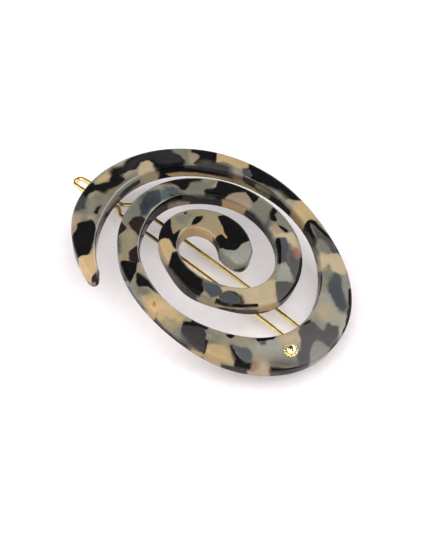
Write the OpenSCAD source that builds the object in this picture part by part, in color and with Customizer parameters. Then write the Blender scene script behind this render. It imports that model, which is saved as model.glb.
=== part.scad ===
// Hair barrette: an arched plate cut as one flat spiral, with a sprung wire clasp underneath.
// Millimetres. +X runs along the clasp towards its hinge, +Y across it, +Z up.
// Each module is drawn with the arch's crown over the origin and the crown's underside at z = 0,
// and placed() then leans it on the surface that it lies on.

/* [Plate] */
// Thickness of the plate
plate_t = 4.8; // [4:0.1:6]
// Radius of the polished edges
edge_r = 1; // [0.5:0.1:1.4]
// Radius that the top face is arched to
arch_r = 176; // [140:1:260]

/* [Spiral] */
// Width of the oval that the spiral follows, as a part of its length
oval = 0.764; // [0.7:0.002:0.85]
// Spiral's centre along X, from the crown
spiral_x = 0.9; // [0:0.1:2]
// Spiral's centre along Y, from the crown
spiral_y = -0.9; // [-2:0.1:1]
// Direction from the spiral's centre to its outer tip, in degrees
tip_angle = 239.6; // [230:0.2:250]
// Angle from one row of the table below to the next, in degrees
row_step = 45; // [45]
// Stations that the band has between two rows
row_stations = 7; // [4:1:9]

/* [Clasp wire] */
// Diameter of the wire
wire_d = 1; // [0.8:0.05:1.2]
// Distance between the two legs at the hinge, centre to centre
leg_gap = 4.8; // [4.6:0.1:5.4]
// Angle that each leg splays outwards from the hinge
splay = 0.15; // [0:0.05:0.3]
// Y of the clasp's middle
clasp_y = 0.8; // [-1:0.1:1]
// Radius that the legs are arched to
leg_r = 440; // [400:5:500]
// Angle that their arch spans, from the hinge to the neck
leg_angle = 7.9; // [7:0.1:8.2]
// Angle at which the legs rise from the hinge
leg_rise = 2.7; // [2.5:0.1:3.6]
// Centre radius of the bend from a leg into its hinge pin
pin_bend_r = 0.9; // [0.8:0.05:1.2]
// Length of the straight shoulder between that bend and an ear
shoulder_l = 0.5; // [0.4:0.1:0.8]
// Diameter of the pin on the wire's end
pin_d = 0.8; // [0.7:0.05:0.9]
// Length of the pin past the ear, and clear inside the shoulder
pin_past = 0.15; // [0.1:0.05:0.25]
// Further angle that the thumb loop dips below the legs
dip = 5.5; // [4:0.5:7]
// Radius of that dip
dip_r = 8; // [6:1:12]
// Angle of the neck's two V shapes
neck_angle = 40; // [36:1:44]
// Distance between the wires at the neck, centre to centre
neck_gap = 1.3; // [1.2:0.05:1.5]
// Centre radius of the bends where the V shapes begin and end
neck_r = 1.2; // [1:0.1:1.4]
// Centre radius of the bend at the neck itself
waist_r = 1; // [0.8:0.1:1.2]
// Widest part of the eye behind the neck, centre to centre
eye_gap = 4; // [3.8:0.1:4.4]
// Length of the thumb loop's straight sides
loop_l = 12.1; // [11:0.1:14]
// Centre radius of the thumb loop's round end
loop_r = 1.45; // [1.3:0.05:1.6]
// Sides of the wire
wire_sides = 12; // [10:2:16]
// Largest angle of one piece of a bend
bend_step = 15; // [12:1:18]
// Largest length of one piece of a straight
leg_step = 6; // [4:0.5:8]

/* [Hinge] */
// X of the hinge axis
hinge_x = 33; // [30:0.5:35]
// Height of the hinge axis below the crown's underside
hinge_drop = 5.7; // [5.6:0.1:6.4]
// Radial clearance of the pins in the ears
pin_play = 0.05; // [0.03:0.01:0.08]
// Gap between each ear and the wire's shoulder
ear_play = 0.1; // [0.05:0.05:0.2]
// Outer radius of the ears
ear_r = 1.3; // [1.2:0.1:1.5]
// Thickness of the ears
ear_t = 0.8; // [0.6:0.1:1]
// Length of the bracket's foot
foot_l = 6; // [5:0.5:7]
// Thickness of the foot
foot_t = 0.6; // [0.4:0.1:0.8]

/* [Catch] */
// Diameter of the ball that the neck snaps over
ball_d = 2.6; // [2.4:0.05:2.6]
// Diameter of its post
post_d = 1.3; // [1:0.1:1.5]
// X of the post
catch_x = -34; // [-34.2:0.1:-33.8]
// Height of the ball's centre below the crown's underside
ball_drop = 8.3; // [8.1:0.1:8.5]
// Diameter of the disc under the plate
disc_d = 4.4; // [3.6:0.2:5]
// Thickness of the disc
disc_t = 0.6; // [0.4:0.1:0.8]

/* [Stud] */
// X of the stud on the top face
stud_x = 33.1; // [31:0.1:35]
// Y of the stud
stud_y = -8.3; // [-9:0.1:-7]
// Diameter of its rim
stud_d = 3.8; // [3:0.1:4.2]
// Thickness of its rim
rim_t = 0.5; // [0.3:0.1:0.8]
// Diameter of its dome
dome_d = 2.8; // [2.2:0.1:3]

/* [Place] */
// X of the crown, which centres the whole barrette on the origin
place_x = 4.4; // [2:0.1:5]
// Y of the crown
place_y = -0.8; // [-2:0.1:2]
// Gap between pieces that are fixed to each other
fix_gap = 0.08; // [0.06:0.01:0.12]

/* [Hidden] */
$fn = 48;

// The band, a row for every row_step from the outer tip inwards:
// distance from the spiral's centre along the long axis, width of the band.
BAND = [
    [37.6, 2.7],
    [35.3, 8.3],
    [36.9, 7.1],
    [37.1, 4.8],
    [35.9, 4.4],
    [34.7, 9.5],
    [32.6, 8.6],
    [29.3, 5.0],
    [25.6, 5.1],
    [22.6, 6.3],
    [24.6, 6.1],
    [26.2, 5.4],
    [24.7, 6.2],
    [19.5, 6.7],
    [14.5, 5.1],
    [13.6, 4.9],
    [12.4, 4.0],
    [12.1, 5.6],
    [12.3, 6.2],
    [10.6, 7.8],
    [7.9, 8.4],
    [6.6, 7.6]
];
last_row = len(BAND) - 1;
end_stations = 7;
end_angle = 10; // from a round end's point to its first station
corner_points = 3;
corner_share = 0.9; // most of the half width or half height that a corner takes up

// Smooth curve through one column of the table, at row x
function cell(i, column) =
    i < 0 ? 2 * BAND[0][column] - BAND[1][column] :
    i > last_row ? 2 * BAND[last_row][column] - BAND[last_row - 1][column] :
    BAND[i][column];
function curve(a, b, c, d, f) =
    b + f * (c - a + f * (2 * a - 5 * b + 4 * c - d + f * (3 * (b - c) + d - a))) / 2;
function row_value(x, column) =
    let (i = min(floor(x), last_row - 1))
    curve(cell(i - 1, column), cell(i, column), cell(i + 1, column), cell(i + 2, column), x - i);

// Middle of the band in plan, the direction square to it, outwards, and its speed per row
function middle(x) =
    let (
        a = tip_angle - row_step * x,
        r = row_value(x, 0) / sqrt(pow(cos(a), 2) + pow(sin(a) / oval, 2))
    )
    [spiral_x + r * cos(a), spiral_y + r * sin(a)];
probe = 0.01;
function travel(x) = (middle(x + probe) - middle(x - probe)) / (2 * probe);
function outwards(x) = let (t = travel(x)) [-t[1], t[0]] / norm(t);

// Half width and half height at a distance from a round end of radius r
function round_half(r, distance) = distance >= r ? 1 : sqrt(max(0, 1 - pow(1 - distance / r, 2)));
function end_height(distance) =
    plate_t / 2 - edge_r * (1 - round_half(edge_r, distance));

// One station: row, half width, half height
function tip_station(i, x, side) =
    let (
        r = row_value(x, 1) / 2,
        d = r * (1 - cos(end_angle + (90 - end_angle) * i / end_stations))
    )
    [x + side * d / norm(travel(x)), r * round_half(r, d), end_height(d)];
tip_speed = norm(travel(0));
heart_speed = norm(travel(last_row));
first_free = BAND[0][1] / 2 / tip_speed;
last_free = last_row - BAND[last_row][1] / 2 / heart_speed;
free_count = round(row_stations * last_row);
STATIONS = concat(
    [for (i = [0 : end_stations - 1]) tip_station(i, 0, 1)],
    [for (i = [0 : free_count])
        let (x = first_free + (last_free - first_free) * i / free_count)
        [x, row_value(x, 1) / 2, plate_t / 2]],
    [for (i = [end_stations - 1 : -1 : 0]) tip_station(i, last_row, -1)]
);

// Rounded section of a station, as distances outwards and up from the band's middle
function section(half_w, half_h) =
    let (r = min(edge_r, corner_share * half_w, corner_share * half_h))
    [for (corner = [0 : 3], i = [0 : corner_points - 1])
        let (
            a = 90 * corner + 90 * i / (corner_points - 1),
            side = corner == 0 || corner == 3 ? 1 : -1,
            face = corner < 2 ? 1 : -1
        )
        [side * (half_w - r) + r * cos(a), face * (half_h - r) + r * sin(a)]];

// Wraps a point of the flat plate round the arch, with the crown's underside at z = 0
function arched(p) =
    let (a = p[0] / arch_r * 180 / PI, r = arch_r - plate_t / 2 + p[2])
    [r * sin(a), p[1], r * cos(a) - arch_r + plate_t];

function station_points(s) =
    let (c = middle(s[0]), n = outwards(s[0]))
    [for (q = section(s[1], s[2])) arched([c[0] + n[0] * q[0], c[1] + n[1] * q[0], q[1]])];

// Skin over a row of rings, closed by a fan to a point at each end
module swept(rings, ends) {
    count = len(rings);
    ring = len(rings[0]);
    sides = [for (i = [0 : count - 2], j = [0 : ring - 1])
        let (
            a = i * ring + j,
            b = i * ring + (j + 1) % ring,
            c = a + ring,
            d = b + ring
        )
        each [[a, d, b], [a, c, d]]];
    first_fan = [for (j = [0 : ring - 1]) [count * ring, j, (j + 1) % ring]];
    last_fan = [for (j = [0 : ring - 1])
        [count * ring + 1, (count - 1) * ring + (j + 1) % ring, (count - 1) * ring + j]];
    polyhedron(concat([for (r = rings) each r], ends), concat(sides, first_fan, last_fan),
        convexity = 10);
}

module spiral_plate() {
    ends = [for (s = [STATIONS[0], STATIONS[len(STATIONS) - 1]])
        let (c = middle(s[0])) arched([c[0], c[1], 0])];
    color("darkkhaki") swept([for (s = STATIONS) station_points(s)], ends);
}

// Plan of half the bow, as [distance along the bow, distance across, heading]. A step [l] is
// straight. A step [r, angle] is a bend, to the left where its angle is positive.
function straight(p, l) = let (n = ceil(l / leg_step)) [for (i = [1 : n])
    [p[0] + cos(p[2]) * l * i / n, p[1] + sin(p[2]) * l * i / n, p[2]]];
function bend(p, r, angle) = let (n = ceil(abs(angle) / bend_step), k = sign(angle) * r)
    [for (i = [1 : n]) let (h = p[2] + angle * i / n)
        [p[0] + k * (sin(h) - sin(p[2])), p[1] - k * (cos(h) - cos(p[2])), h]];
function trace(steps, p, i = 0) = i == len(steps) ? [] : let (
        s = steps[i],
        done = len(s) == 1 ? straight(p, s[0]) : bend(p, s[0], s[1])
    )
    concat(done, trace(steps, done[len(done) - 1], i + 1));

// Straight parts of the V shapes, from how far the wire moves sideways in each
leg_l = leg_r * leg_angle * PI / 180;
function v_side(across) =
    (across - (neck_r + waist_r) * (1 - cos(neck_angle))) / sin(neck_angle);
v_in = v_side(leg_gap / 2 + leg_l * sin(splay) - neck_gap / 2);
v_out = v_side((eye_gap - neck_gap) / 2);
// The loop's sides close in slightly, from the eye to the round end
taper = asin((eye_gap / 2 - loop_r) / loop_l);
wire_end = leg_gap / 2 + pin_bend_r + shoulder_l;
start = [0, wire_end, -90];
half_bow = concat([start], trace([
    [shoulder_l],
    [pin_bend_r, 90 + splay],
    [leg_l],
    [neck_r, -neck_angle - splay],
    [v_in],
    [waist_r, 2 * neck_angle],
    [v_out],
    [neck_r, -neck_angle - taper],
    [loop_l],
    [loop_r, taper - 90]
], start));
half_count = len(half_bow);
bow_path = concat(half_bow, [for (i = [half_count - 2 : -1 : 0])
    [half_bow[i][0], -half_bow[i][1], -180 - half_bow[i][2]]]);

// Side view of the bow at a distance along it from the hinge: x, z and how steeply it rises
function arc_end(p, r, l) = let (a = p[2] - l / r * 180 / PI)
    [p[0] - r * (sin(p[2]) - sin(a)), p[1] + r * (cos(a) - cos(p[2])), a];
dip_l = dip_r * dip * PI / 180;
hinge_z = -hinge_drop;
hinge_end = [hinge_x, hinge_z, leg_rise];
leg_end = arc_end(hinge_end, leg_r, leg_l);
dip_end = arc_end(leg_end, dip_r, dip_l);
function side_view(u) =
    u <= leg_l ? arc_end(hinge_end, leg_r, u) :
    u <= leg_l + dip_l ? arc_end(leg_end, dip_r, u - leg_l) :
    let (rest = u - leg_l - dip_l)
    [dip_end[0] - rest * cos(dip_end[2]), dip_end[1] + rest * sin(dip_end[2]), dip_end[2]];

function wire_ring(s) = let (v = side_view(s[0]), k = wire_d / 2)
    [for (i = [0 : wire_sides - 1]) let (
        a = 360 * i / wire_sides,
        along = -k * cos(a) * sin(s[2]),
        down = k * sin(a)
    )
    [
        v[0] - along * cos(v[2]) - down * sin(v[2]),
        clasp_y + s[1] + k * cos(a) * cos(s[2]),
        v[1] + along * sin(v[2]) - down * cos(v[2])
    ]];

module clasp_bow() {
    pin_reach = ear_in + ear_t + pin_past;
    pin_from = wire_end - shoulder_l + pin_past;
    color("gold") {
        swept([for (s = bow_path) wire_ring(s)],
            [for (side = [1, -1]) [hinge_x, clasp_y + side * wire_end, hinge_z]]);
        for (side = [-1, 1])
            translate([hinge_x, clasp_y + side * (pin_from + pin_reach) / 2, hinge_z])
                rotate([90, 0, 0]) cylinder(d = pin_d, h = pin_reach - pin_from, center = true);
    }
}

// Slope of the underside at x, and a copy of the children laid against it there
function slope(x) = asin(x / (arch_r - plate_t));
function under_z(x) = (arch_r - plate_t) * cos(slope(x)) - arch_r + plate_t;
module under_plate(x, y) {
    translate([x, y, under_z(x)]) rotate([0, slope(x), 0]) translate([0, 0, -fix_gap]) children();
}

ear_in = wire_end + ear_play;
module hinge_bracket() {
    foot_w = 2 * (ear_in + ear_t);
    web_top = under_z(hinge_x) - fix_gap - foot_t / 2;
    bore_r = pin_d / 2 + pin_play;
    color("goldenrod") {
        under_plate(hinge_x, clasp_y)
            translate([-foot_l / 2, -foot_w / 2, -foot_t]) cube([foot_l, foot_w, foot_t]);
        for (side = [-1, 1])
            translate([hinge_x, clasp_y + side * (ear_in + ear_t / 2), 0]) difference() {
                union() {
                    translate([0, 0, hinge_z]) rotate([90, 0, 0])
                        cylinder(r = ear_r, h = ear_t, center = true);
                    translate([-ear_r, -ear_t / 2, hinge_z])
                        cube([2 * ear_r, ear_t, web_top - hinge_z]);
                }
                translate([0, 0, hinge_z]) rotate([90, 0, 0])
                    cylinder(r = bore_r, h = 2 * ear_t, center = true);
            }
    }
}

module catch_post() {
    color("goldenrod") {
        under_plate(catch_x, clasp_y)
            translate([0, 0, -disc_t]) cylinder(d = disc_d, h = disc_t);
        post_top = under_z(catch_x) - fix_gap - disc_t / 2;
        translate([catch_x, clasp_y, -ball_drop]) {
            cylinder(d = post_d, h = post_top + ball_drop);
            sphere(d = ball_d);
        }
    }
}

dome_sink = 0.1; // centre of the stud's dome below the rim's top
module stud() {
    top_slope = asin(stud_x / arch_r);
    color("gold") translate([stud_x, stud_y, arch_r * cos(top_slope) - arch_r + plate_t])
        rotate([0, top_slope, 0]) translate([0, 0, fix_gap]) rotate_extrude() {
            square([stud_d / 2 - rim_t / 2, rim_t]);
            intersection() {
                translate([stud_d / 2 - rim_t / 2, rim_t / 2]) circle(d = rim_t);
                square([stud_d, rim_t]);
            }
            intersection() {
                translate([0, rim_t - dome_sink]) circle(d = dome_d);
                translate([0, rim_t / 2]) square([dome_d, dome_d]);
            }
        }
}

// The barrette rests on the thumb loop's end and on the hinge's ears
low_left = side_view(half_bow[half_count - 1][0]);
low_right = [hinge_x, hinge_z - ear_r + wire_d / 2];
rest_tilt = atan((low_right[1] - low_left[1]) / (low_right[0] - low_left[0]));
lift = hinge_x * sin(rest_tilt) - hinge_z * cos(rest_tilt) + ear_r;

module placed() {
    translate([place_x, place_y, lift]) rotate([0, rest_tilt, 0]) children();
}

placed() spiral_plate();
placed() clasp_bow();
placed() hinge_bracket();
placed() catch_post();
placed() stud();
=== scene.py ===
"""Hair barrette: looks of the polished tortoiseshell spiral, its sprung wire clasp and its fittings.

The band and the wire follow the same curves as the CAD model, in millimetres, with finer steps.
Coordinates named crown are millimetres from the crown of the arch, before the barrette leans on
the surface that it lies on.
"""

import math

import bpy
import numpy as np
from mathutils import Matrix, Vector, noise


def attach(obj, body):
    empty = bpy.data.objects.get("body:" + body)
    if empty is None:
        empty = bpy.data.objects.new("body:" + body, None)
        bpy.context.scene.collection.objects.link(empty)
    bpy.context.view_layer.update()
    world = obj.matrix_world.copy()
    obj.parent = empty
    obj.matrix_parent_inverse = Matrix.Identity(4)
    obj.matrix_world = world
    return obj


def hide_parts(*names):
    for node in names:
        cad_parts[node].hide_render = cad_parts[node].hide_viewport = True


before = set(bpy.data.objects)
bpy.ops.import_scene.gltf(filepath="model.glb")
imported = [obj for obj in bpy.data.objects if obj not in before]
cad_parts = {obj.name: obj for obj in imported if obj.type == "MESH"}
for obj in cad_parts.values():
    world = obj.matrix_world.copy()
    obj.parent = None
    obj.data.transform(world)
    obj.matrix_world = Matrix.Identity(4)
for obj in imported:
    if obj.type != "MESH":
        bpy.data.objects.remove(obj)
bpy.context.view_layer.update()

# Sizes, as in the CAD model

PLATE_T = 4.8
EDGE_R = 1.0
ARCH_R = 176.0
OVAL = 0.764
SPIRAL_X, SPIRAL_Y = 0.9, -0.9
TIP_ANGLE = 239.6
ROW_STEP = 45.0
# Distance from the spiral's centre along the long axis, and width, from the outer tip inwards
BAND = np.array([
    [37.6, 2.7], [35.3, 8.3], [36.9, 7.1], [37.1, 4.8], [35.9, 4.4], [34.7, 9.5],
    [32.6, 8.6], [29.3, 5.0], [25.6, 5.1], [22.6, 6.3], [24.6, 6.1], [26.2, 5.4],
    [24.7, 6.2], [19.5, 6.7], [14.5, 5.1], [13.6, 4.9], [12.4, 4.0], [12.1, 5.6],
    [12.3, 6.2], [10.6, 7.8], [7.9, 8.4], [6.6, 7.6],
])
LAST_ROW = len(BAND) - 1

WIRE_D = 1.0
LEG_GAP, SPLAY, CLASP_Y = 4.8, 0.15, 0.8
LEG_R, LEG_ANGLE, LEG_RISE = 440.0, 7.9, 2.7
PIN_BEND_R, SHOULDER_L, PIN_D, PIN_PAST = 0.9, 0.5, 0.8, 0.15
DIP, DIP_R = 5.5, 8.0
NECK_ANGLE, NECK_GAP, NECK_R, WAIST_R = 40.0, 1.3, 1.2, 1.0
EYE_GAP, LOOP_L, LOOP_R = 4.0, 12.1, 1.45
HINGE_X, HINGE_DROP = 33.0, 5.7
EAR_PLAY, EAR_T, EAR_R = 0.1, 0.8, 1.3
STUD_X, STUD_Y, STUD_D, RIM_T, DOME_D, DOME_SINK = 33.1, -8.3, 3.8, 0.5, 2.8, 0.1
PLACE_X, PLACE_Y, FIX_GAP = 4.4, -0.8, 0.08

# Path of the clasp's wire

PATH_STEP, BEND_STEP = 1.0, 5.0  # mm, degrees


def trace(steps, start):
    """Half the bow in plan: distance along, distance across and heading of its points.

    A step is the length of a straight, or the radius and the angle of a bend.
    """
    made = [start]
    for step in steps:
        u, v, h = made[-1]
        a = math.radians(h)
        if len(step) == 1:
            count = math.ceil(step[0] / PATH_STEP)
            for i in range(1, count + 1):
                run = step[0] * i / count
                made.append((u + math.cos(a) * run, v + math.sin(a) * run, h))
        else:
            r, angle = step
            count, k = math.ceil(abs(angle) / BEND_STEP), math.copysign(r, angle)
            for i in range(1, count + 1):
                turn = math.radians(h + angle * i / count)
                made.append((
                    u + k * (math.sin(turn) - math.sin(a)),
                    v - k * (math.cos(turn) - math.cos(a)),
                    math.degrees(turn),
                ))
    return made


leg_l = LEG_R * math.radians(LEG_ANGLE)
neck = math.radians(NECK_ANGLE)


def v_side(across):
    return (across - (NECK_R + WAIST_R) * (1 - math.cos(neck))) / math.sin(neck)


v_in = v_side(LEG_GAP / 2 + leg_l * math.sin(math.radians(SPLAY)) - NECK_GAP / 2)
v_out = v_side((EYE_GAP - NECK_GAP) / 2)
taper = math.degrees(math.asin((EYE_GAP / 2 - LOOP_R) / LOOP_L))
wire_end = LEG_GAP / 2 + PIN_BEND_R + SHOULDER_L
half_bow = trace(
    [
        [SHOULDER_L], [PIN_BEND_R, 90 + SPLAY], [leg_l], [NECK_R, -NECK_ANGLE - SPLAY], [v_in],
        [WAIST_R, 2 * NECK_ANGLE], [v_out], [NECK_R, -NECK_ANGLE - taper], [LOOP_L],
        [LOOP_R, taper - 90],
    ],
    (0.0, wire_end, -90.0),
)
bow_path = np.array(half_bow + [(u, -v, -180 - h) for u, v, h in reversed(half_bow[:-1])])


def arc_end(start, r, length):
    """Where an arc ends that starts at x, z and slope and bends down as it runs towards -X."""
    slope = start[2] - np.degrees(length / r)
    turn, a = np.radians(slope), np.radians(start[2])
    return (
        start[0] - r * (np.sin(a) - np.sin(turn)),
        start[1] + r * (np.cos(turn) - np.cos(a)),
        slope,
    )


def side_view(u):
    """x, z and slope of the bow at distances along it from the hinge."""
    hinge = (HINGE_X, -HINGE_DROP, LEG_RISE)
    dip_l = DIP_R * math.radians(DIP)
    leg_end = arc_end(hinge, LEG_R, leg_l)
    dip_end = arc_end(leg_end, DIP_R, dip_l)
    rest, slope = u - leg_l - dip_l, math.radians(dip_end[2])
    on_leg, on_dip = arc_end(hinge, LEG_R, u), arc_end(leg_end, DIP_R, u - leg_l)
    on_loop = (
        dip_end[0] - rest * math.cos(slope),
        dip_end[1] + rest * math.sin(slope),
        dip_end[2] + 0 * u,
    )
    return [
        np.where(u <= leg_l, a, np.where(u <= leg_l + dip_l, b, c))
        for a, b, c in zip(on_leg, on_dip, on_loop)
    ]


# The barrette lies on the thumb loop's end and on the hinge's ears, so it leans
low_x, low_z = (float(v) for v in side_view(half_bow[-1][0])[:2])
REST_TILT = math.atan2(WIRE_D / 2 - HINGE_DROP - EAR_R - low_z, HINGE_X - low_x)
LIFT = HINGE_X * math.sin(REST_TILT) + HINGE_DROP * math.cos(REST_TILT) + EAR_R

# Shared geometry


def placed(points):
    """Crown millimetres to the model's metres."""
    p = np.asarray(points, float)
    c, s = math.cos(REST_TILT), math.sin(REST_TILT)
    x, y, z = p[..., 0], p[..., 1], p[..., 2]
    return np.stack([PLACE_X + x * c + z * s, PLACE_Y + y, LIFT - x * s + z * c], -1) * 0.001


def arched(x, y, height):
    """Wraps the flat plate round the arch. height is from the plate's middle."""
    a, r = x / ARCH_R, ARCH_R - PLATE_T / 2 + height
    return np.stack([r * np.sin(a), y + 0 * a, r * np.cos(a) - ARCH_R + PLATE_T], -1)


def ring_faces(rings, ring):
    """Quads over a row of closed rings, and a fan to an extra point at each end."""
    i, j = np.meshgrid(np.arange(rings - 1), np.arange(ring), indexing="ij")
    a, b = i * ring + j, i * ring + (j + 1) % ring
    quads = np.stack([a, a + ring, b + ring, b], -1).reshape(-1, 4).tolist()
    k, top = np.arange(ring), (rings - 1) * ring
    first = np.stack([0 * k + rings * ring, k, (k + 1) % ring], -1).tolist()
    last = np.stack([0 * k + rings * ring + 1, top + (k + 1) % ring, top + k], -1).tolist()
    return quads + first + last


def new_object(name, points, faces, material):
    """A smooth-shaded mesh object."""
    mesh = bpy.data.meshes.new(name)
    mesh.from_pydata(np.asarray(points).tolist(), [], faces)
    mesh.validate()
    mesh.polygons.foreach_set("use_smooth", [True] * len(mesh.polygons))
    mesh.materials.append(material)
    made = bpy.data.objects.new(name, mesh)
    bpy.context.scene.collection.objects.link(made)
    return made


def new_piece(name, points, faces, material, body, slot, *nodes):
    """A mesh piece that rides on a body and stands for CAD nodes."""
    piece = new_object(name, points, faces, material)
    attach(piece, body)
    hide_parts(*nodes)
    return piece


# Camera, as seen in the photo

IMAGE_W, IMAGE_H = 437, 546
CENTRE_PX = ((IMAGE_W - 1) / 2, (IMAGE_H - 1) / 2)
PX_PER_MM = 4.0
VIEW_ELEVATION, VIEW_AZIMUTH, VIEW_ROLL = 52.9, 32.5, -10.5
VIEW_DISTANCE = 1611.8  # pixels
VIEW_SHIFT = (1.671, 13.465)  # pixels
CROWN_PX = np.array([-16.5, 6.54, 0.0])  # where the crown lies in the view's plan, pixels
CROWN_TOP = np.array([0.0, 0.0, PLATE_T])


def view_axes():
    """The camera's right, up and back, in crown axes."""
    e, a, r = (math.radians(v) for v in (VIEW_ELEVATION, VIEW_AZIMUTH, VIEW_ROLL))
    right = np.array([math.cos(a), math.sin(a), 0.0])
    back = np.array([math.sin(a) * math.cos(e), -math.cos(a) * math.cos(e), math.sin(e)])
    up = np.cross(back, right)
    c, s = math.cos(r), math.sin(r)
    return right * c - up * s, right * s + up * c, back


VIEW_R, VIEW_U, VIEW_B = view_axes()
EYE_PX = VIEW_DISTANCE * VIEW_B - VIEW_SHIFT[0] * VIEW_R - VIEW_SHIFT[1] * VIEW_U


def crown_from_px(p):
    """Plan pixels, with z from the crown's top, to crown millimetres."""
    return (p - CROWN_PX) / PX_PER_MM + CROWN_TOP


def to_image(crown):
    """Where crown millimetres fall in the picture, in pixels."""
    d = (crown - CROWN_TOP) * PX_PER_MM + CROWN_PX - EYE_PX
    depth = -d @ VIEW_B
    return np.stack([
        CENTRE_PX[0] + VIEW_DISTANCE * (d @ VIEW_R) / depth,
        CENTRE_PX[1] - VIEW_DISTANCE * (d @ VIEW_U) / depth,
    ], -1)


RAY_STEPS = 40
RAY_REACH = 90.0  # mm from the crown, farther than any ray meets the plate


def on_top(pixels):
    """Where rays through the picture's pixels meet the arched top face, as flat plan millimetres."""
    q = np.asarray(pixels, float)
    ray = (
        (q[:, :1] - CENTRE_PX[0]) * VIEW_R
        - (q[:, 1:] - CENTRE_PX[1]) * VIEW_U
        - VIEW_DISTANCE * VIEW_B
    )
    t = np.ones(len(q))
    for _ in range(RAY_STEPS):
        x = crown_from_px(EYE_PX + t[:, None] * ray)[:, 0]
        z = np.sqrt(ARCH_R**2 - np.clip(x, -RAY_REACH, RAY_REACH) ** 2) - ARCH_R
        t = (z * PX_PER_MM - EYE_PX[2]) / ray[:, 2]
    p = crown_from_px(EYE_PX + t[:, None] * ray)
    return np.stack([ARCH_R * np.arcsin(p[:, 0] / ARCH_R), p[:, 1]], -1)


def on_picture(pixels):
    """The picture's pixels at the model's scale."""
    return np.asarray(pixels, float) / PX_PER_MM


# The spiral band

STATION_L = 0.3
FINE_STATIONS = 6000  # for measuring the band's length
END_STATIONS = 14
END_FROM, END_TO = 3, 87  # degrees of a round end that its stations cover
CORNER_POINTS, TOP_POINTS, SIDE_POINTS = 6, 22, 7
EDGE_PART = 0.9  # the most of a half width or half height that a rounded edge takes


def row_value(x, column):
    """Smooth curve through one column of the table, at row x."""
    x = np.asarray(x, float)
    v = BAND[:, column]
    cells = np.concatenate([[2 * v[0] - v[1]], v, [2 * v[-1] - v[-2]]])
    i = np.minimum(np.floor(x).astype(int), LAST_ROW - 1)
    a, b, c, d = (cells[np.clip(i + k, 0, LAST_ROW + 2)] for k in (0, 1, 2, 3))
    f = x - i
    return b + f * (c - a + f * (2 * a - 5 * b + 4 * c - d + f * (3 * (b - c) + d - a))) / 2


def middle(x):
    """Middle line of the band in plan, at row x."""
    a = np.radians(TIP_ANGLE - ROW_STEP * np.asarray(x, float))
    r = row_value(x, 0) / np.sqrt(np.cos(a) ** 2 + (np.sin(a) / OVAL) ** 2)
    return np.stack([SPIRAL_X + r * np.cos(a), SPIRAL_Y + r * np.sin(a)], -1)


def travel(x, probe=0.01):
    """How far and which way the middle line runs for each row."""
    return (middle(x + probe) - middle(x - probe)) / (2 * probe)


def round_half(r, distance):
    """Half width of a circle at a distance from its edge, as a part of its radius."""
    return np.sqrt(np.clip(1 - np.clip(1 - distance / r, 0, 1) ** 2, 0, 1))


def end_stations(x, side):
    """Rows, half widths and half heights from a round end's point to its full width."""
    r = float(row_value(x, 1)) / 2
    d = r * (1 - np.cos(np.radians(np.linspace(END_FROM, END_TO, END_STATIONS))))
    rows = x + side * d / np.linalg.norm(travel(float(x)))
    return rows, r * round_half(r, d), PLATE_T / 2 - EDGE_R * (1 - round_half(EDGE_R, d))


def band_stations():
    """Rows, half widths and half heights along the whole band."""
    first = BAND[0, 1] / 2 / np.linalg.norm(travel(0.0))
    last = LAST_ROW - BAND[-1, 1] / 2 / np.linalg.norm(travel(float(LAST_ROW)))
    fine = np.linspace(first, last, FINE_STATIONS)
    run = np.concatenate([[0], np.cumsum(np.linalg.norm(np.diff(middle(fine), axis=0), axis=1))])
    rows = np.interp(np.linspace(0, run[-1], int(run[-1] / STATION_L)), run, fine)
    tip, heart = end_stations(0, 1), end_stations(LAST_ROW, -1)
    free = rows, row_value(rows, 1) / 2, np.full(len(rows), PLATE_T / 2)
    return [np.concatenate([a, b, c[::-1]]) for a, b, c in zip(tip, free, heart)]


def band_section(half_w, half_h):
    """Points round the band's section, outwards and up from its middle, and where each faces."""
    r = np.minimum(EDGE_R, EDGE_PART * np.minimum(half_w, half_h))
    w, h = half_w - r, half_h - r
    out, up, faces_to = [], [], []
    for corner in range(4):
        sx, sz = (1, -1, -1, 1)[corner], (1, 1, -1, -1)[corner]
        for a in np.radians(90 * corner + np.linspace(0, 90, CORNER_POINTS)):
            out.append(sx * w + r * math.cos(a))
            up.append(sz * h + r * math.sin(a))
            faces_to.append(a)
        count = TOP_POINTS if corner in (0, 2) else SIDE_POINTS
        for f in np.arange(1, count + 1) / (count + 1):
            across, rise = {
                0: (w * (1 - 2 * f), half_h),
                1: (-half_w, h * (1 - 2 * f)),
                2: (-w * (1 - 2 * f), -half_h),
                3: (half_w, -h * (1 - 2 * f)),
            }[corner]
            out.append(across)
            up.append(rise)
            faces_to.append(math.radians(90 * (corner + 1)))
    return np.stack(out, 1), np.stack(up, 1), np.array(faces_to)


def with_ends(values, end):
    """Values of the band's points, with those of the two points that close its ends."""
    return np.concatenate([np.ravel(values), [end, end]])


rows, half_w, half_h = band_stations()
centre, heading = middle(rows), travel(rows)
heading /= np.linalg.norm(heading, axis=1)[:, None]
outward = np.stack([-heading[:, 1], heading[:, 0]], 1)
out, up, faces_to = band_section(half_w, half_h)
ring_plan = centre[:, None, :] + outward[:, None, :] * out[..., None]
plan = np.concatenate([ring_plan.reshape(-1, 2), centre[[0, -1]]])
band_crown = arched(plan[:, 0], plan[:, 1], with_ends(up, 0))

# How much of a wall each point is, which the material uses to darken the walls as painted shade,
# and of the polished edge between the top and the inner wall, which shines most where that wall
# faces the picture's right
POLISH, POLISH_START, POLISH_LEAST = 1.6, -0.2, 0.05
side = with_ends(np.tile(np.cos(faces_to) ** 2, len(rows)), 1)
faces_right = -(outward @ VIEW_R[:2])
polish = np.clip(POLISH * faces_right + POLISH_START, POLISH_LEAST, 1)
edge_of_top = np.clip(-np.cos(faces_to), 0, 1) * np.clip(np.sin(faces_to), 0, 1) * 2
inner_edge = with_ends(polish[:, None] * edge_of_top, 0)

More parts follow.
